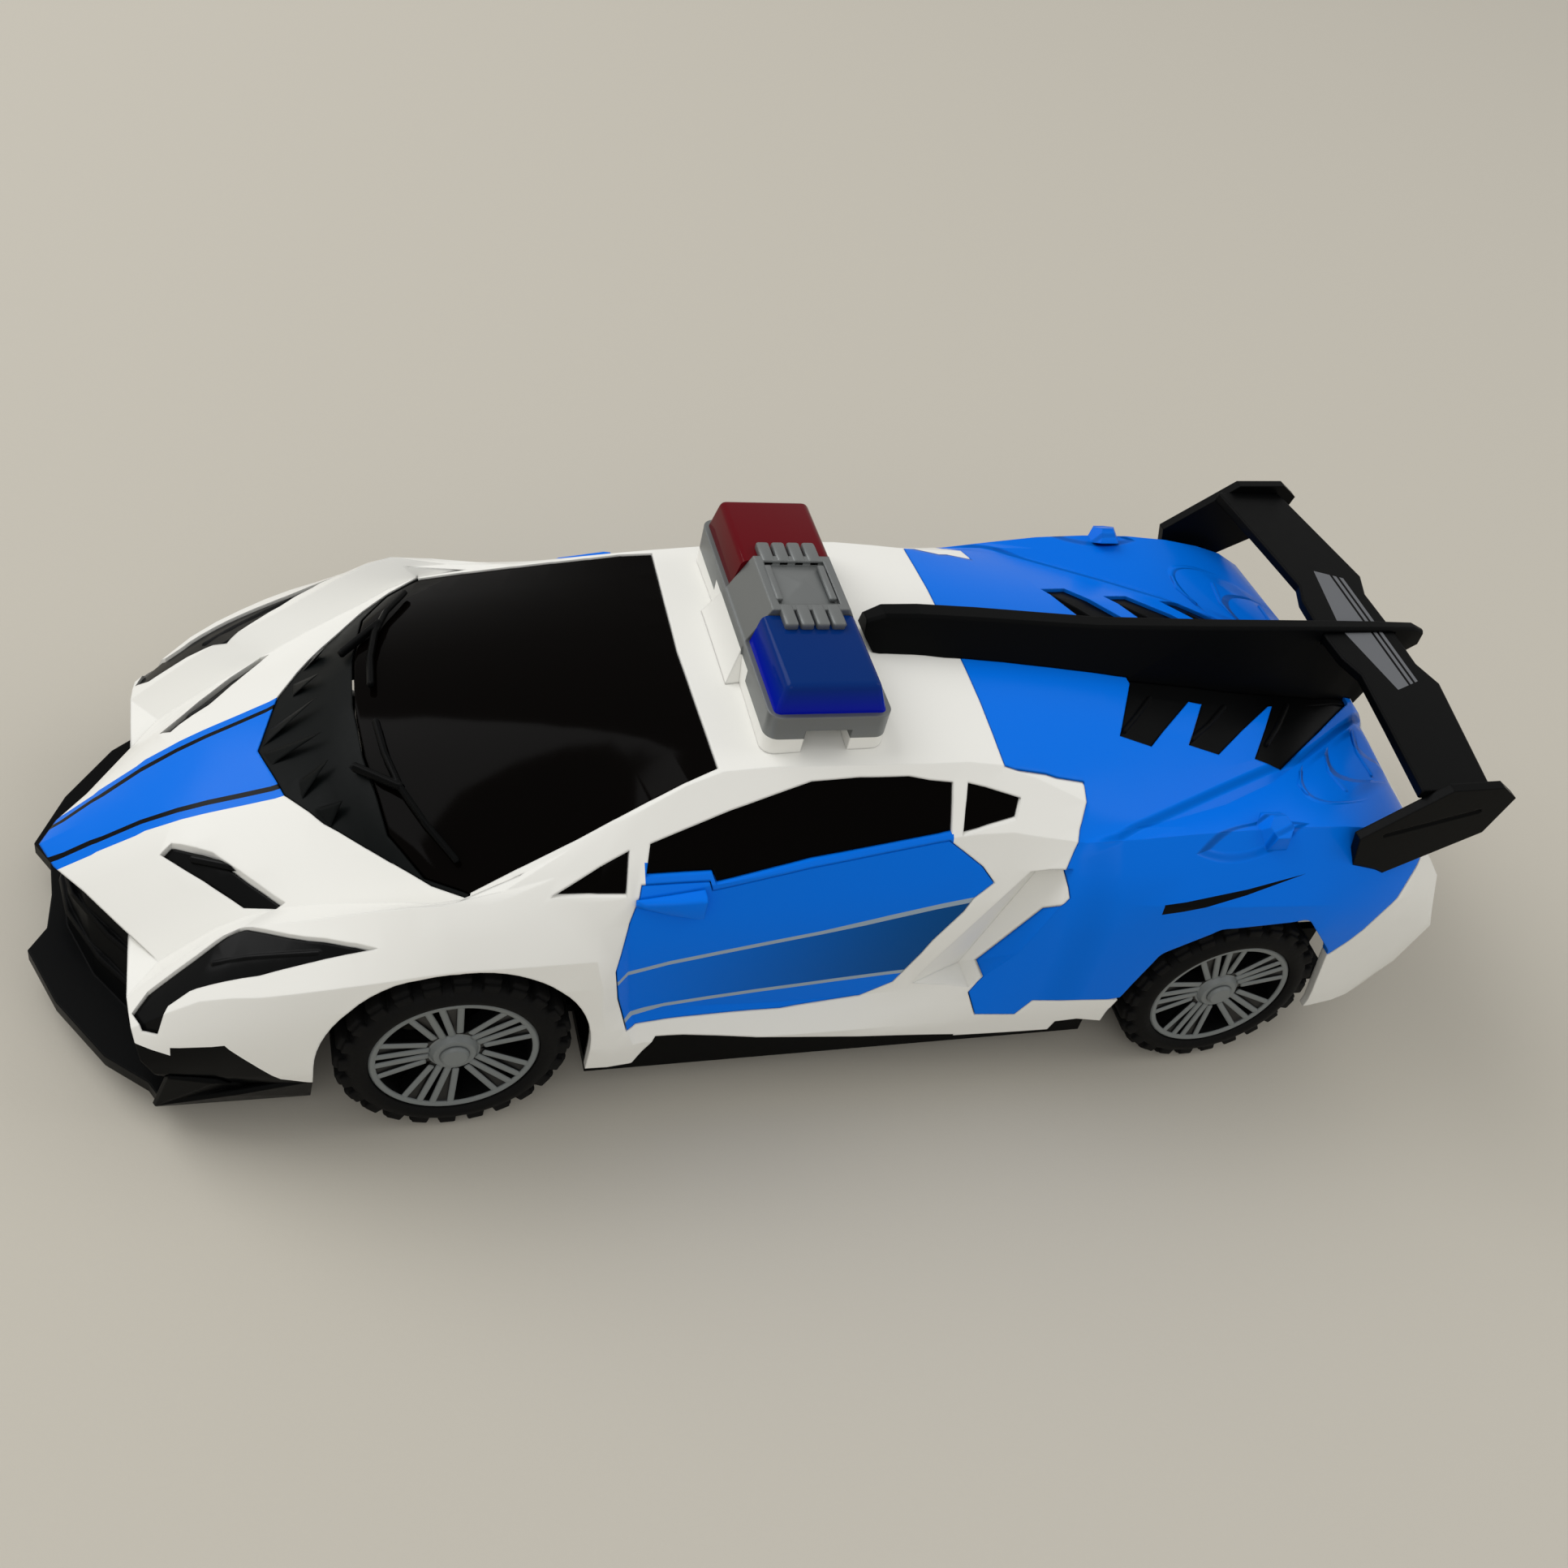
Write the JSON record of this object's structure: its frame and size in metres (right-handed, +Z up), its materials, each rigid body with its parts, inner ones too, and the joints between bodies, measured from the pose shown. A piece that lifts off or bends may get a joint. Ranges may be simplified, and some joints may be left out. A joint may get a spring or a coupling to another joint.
{
  "type": "toy police car",
  "caption": "Battery-driven toy sports car with a roof light bar, centre fin and rear wing, turning wheels, geared motor drive and a sliding power switch.",
  "frame": {"origin": "on the ground, under the middle of the overall box", "axes": "+X forward to the nose, +Y to the left of the car, +Z up"},
  "size_m": [0.2716, 0.107, 0.0822],
  "materials": {
    "white_plastic": "glossy moulded white",
    "blue_plastic": "glossy bright blue",
    "smoked_plastic": "glossy smoked window plastic",
    "cowl_plastic": "satin dark grey",
    "black_plastic": "satin black moulding",
    "red_plastic": "clear dark red",
    "blue_lens_plastic": "clear deep blue",
    "silver_plastic": "silver grey",
    "rim_plastic": "mid grey",
    "tyre_rubber": "matt black",
    "steel": "bright drawn",
    "brass": "turned",
    "gear_plastic": "natural moulded",
    "cell_wrap": "printed wrap",
    "board_green": "lacquered"
  },
  "bodies": {
    "car": {"body_shell": "white_plastic", "rear_bumper": "white_plastic", "rear_deck": "blue_plastic", "door_left": "blue_plastic", "door_right": "blue_plastic", "mirror_left": "blue_plastic", "mirror_right": "blue_plastic", "side_glass_left": "smoked_plastic", "side_glass_right": "smoked_plastic", "windshield": "smoked_plastic", "cowl": "cowl_plastic", "wipers": "black_plastic", "headlight_left": "black_plastic", "headlight_right": "black_plastic", "hood_vent_left": "black_plastic", "hood_vent_right": "black_plastic", "front_bumper": "black_plastic", "louvre_panel": "black_plastic", "fin": "black_plastic", "rear_wing": "black_plastic", "end_plate_left": "black_plastic", "end_plate_right": "black_plastic", "tail_panel": "black_plastic", "chassis": "black_plastic", "battery_door": "black_plastic", "speaker": "black_plastic", "tail_lamp_left": "red_plastic", "tail_lamp_right": "red_plastic", "red_lens": "red_plastic", "blue_lens": "blue_lens_plastic", "light_bar_base": "silver_plastic", "switch_body": "silver_plastic", "gear_pin": "steel", "motor_case": "steel", "contacts": "steel", "door_screw": "steel", "body_screws": "steel", "gearbox_left": "gear_plastic", "gearbox_right": "gear_plastic", "leds": "gear_plastic", "cells": "cell_wrap", "circuit_board": "board_green"},
    "front_wheels": {"front_axle": "steel", "rim_front_left": "rim_plastic", "rim_front_right": "rim_plastic", "tyre_front_left": "tyre_rubber", "tyre_front_right": "tyre_rubber"},
    "rear_wheels": {"rear_axle": "steel", "axle_gear": "gear_plastic", "rim_rear_left": "rim_plastic", "rim_rear_right": "rim_plastic", "tyre_rear_left": "tyre_rubber", "tyre_rear_right": "tyre_rubber"},
    "compound_gear": {"compound_gear": "gear_plastic"},
    "motor_rotor": {"motor_pinion": "brass"},
    "switch_knob": {"switch_knob": "silver_plastic"}
  },
  "joints": [
    {"name": "front_axle_spin", "type": "hinge", "parent": "car", "child": "front_wheels", "pos_m": [0.0658, 0, 0.02025], "axis": [0, 1, 0], "continuous": true},
    {"name": "rear_axle_spin", "type": "hinge", "parent": "car", "child": "rear_wheels", "pos_m": [-0.0842, 0, 0.02025], "axis": [0, 1, 0], "continuous": true},
    {"name": "compound_gear_spin", "type": "hinge", "parent": "car", "child": "compound_gear", "pos_m": [-0.07348, 0, 0.02925], "axis": [0, 1, 0], "continuous": true},
    {"name": "motor_spin", "type": "hinge", "parent": "car", "child": "motor_rotor", "pos_m": [-0.05966, 0, 0.02422], "axis": [0, 1, 0], "continuous": true},
    {"name": "switch_slide", "type": "slide", "parent": "car", "child": "switch_knob", "axis": [1, 0, 0], "range_m": [0, 0.004]}
  ],
  "couplings": [
    {"joint": "compound_gear_spin", "follows": "rear_axle_spin", "ratio": -3},
    {"joint": "motor_spin", "follows": "rear_axle_spin", "ratio": 9.6}
  ]
}
